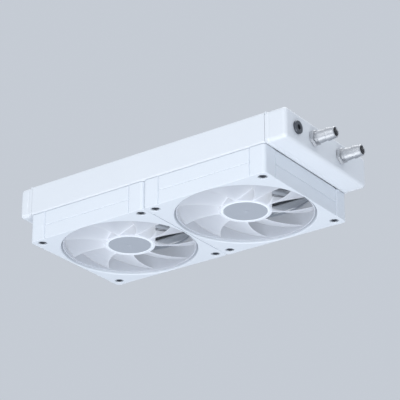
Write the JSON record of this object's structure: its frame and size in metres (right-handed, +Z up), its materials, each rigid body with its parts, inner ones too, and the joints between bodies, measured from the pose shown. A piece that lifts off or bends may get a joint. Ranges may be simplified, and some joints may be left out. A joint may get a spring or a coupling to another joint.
{
  "type": "liquid cooling radiator",
  "caption": "Flat liquid cooling radiator with end tanks, hose nipples, a finned tube core between side rails, and a row of axial fans screwed under it.",
  "frame": {"origin": "bottom centre of the whole box, in the plane of the fans' intake faces", "axes": "+X along the radiator towards its hose nipples, +Y across it, +Z up from the fans to the radiator"},
  "size_m": [0.294, 0.12, 0.0523],
  "materials": {
    "tanks": "satin white powder coat",
    "rails": "satin white powder coat",
    "headers": "satin white powder coat",
    "coolant_tubes": "thin white paint",
    "fins": "thin white paint",
    "nipples": "turned, satin",
    "plug": "dark zinc plating",
    "screws": "dark zinc plating",
    "fan_frames": "fine moulded grain",
    "impellers": "frosted, slightly translucent",
    "hub_caps": "satin grey",
    "light_rings": "milky light guide",
    "motor_steel": "ground",
    "magnets": "bonded ferrite",
    "bearings": "sintered bronze",
    "windings": "enamelled copper",
    "circuit_boards": "solder mask"
  },
  "bodies": {
    "radiator": {"coolant_tube_01": "coolant_tubes", "coolant_tube_02": "coolant_tubes", "coolant_tube_03": "coolant_tubes", "coolant_tube_04": "coolant_tubes", "coolant_tube_05": "coolant_tubes", "coolant_tube_06": "coolant_tubes", "coolant_tube_07": "coolant_tubes", "coolant_tube_08": "coolant_tubes", "coolant_tube_09": "coolant_tubes", "coolant_tube_10": "coolant_tubes", "fan_1_bearing": "bearings", "fan_1_circuit_board": "circuit_boards", "fan_1_frame": "fan_frames", "fan_1_screw_1": "screws", "fan_1_screw_2": "screws", "fan_1_screw_3": "screws", "fan_1_screw_4": "screws", "fan_1_stator": "windings", "fan_2_bearing": "bearings", "fan_2_circuit_board": "circuit_boards", "fan_2_frame": "fan_frames", "fan_2_screw_1": "screws", "fan_2_screw_2": "screws", "fan_2_screw_3": "screws", "fan_2_screw_4": "screws", "fan_2_stator": "windings", "far_rail": "rails", "fill_plug": "plug", "fin_strip_01": "fins", "fin_strip_02": "fins", "fin_strip_03": "fins", "fin_strip_04": "fins", "fin_strip_05": "fins", "fin_strip_06": "fins", "fin_strip_07": "fins", "fin_strip_08": "fins", "fin_strip_09": "fins", "fin_strip_10": "fins", "fin_strip_11": "fins", "inlet_nipple": "nipples", "near_rail": "rails", "outlet_nipple": "nipples", "port_header": "headers", "port_tank": "tanks", "return_header": "headers", "return_tank": "tanks"},
    "fan_1_rotor": {"fan_1_impeller": "impellers", "fan_1_hub_cap": "hub_caps", "fan_1_light_ring": "light_rings", "fan_1_rotor_yoke": "motor_steel", "fan_1_magnet_ring": "magnets", "fan_1_shaft": "motor_steel"},
    "fan_2_rotor": {"fan_2_impeller": "impellers", "fan_2_hub_cap": "hub_caps", "fan_2_light_ring": "light_rings", "fan_2_rotor_yoke": "motor_steel", "fan_2_magnet_ring": "magnets", "fan_2_shaft": "motor_steel"}
  },
  "joints": [
    {"name": "fan_1_spin", "type": "hinge", "parent": "radiator", "child": "fan_1_rotor", "pos_m": [-0.074, 0, 0], "axis": [0, 0, 1], "continuous": true},
    {"name": "fan_2_spin", "type": "hinge", "parent": "radiator", "child": "fan_2_rotor", "pos_m": [0.046, 0, 0], "axis": [0, 0, 1], "continuous": true}
  ]
}
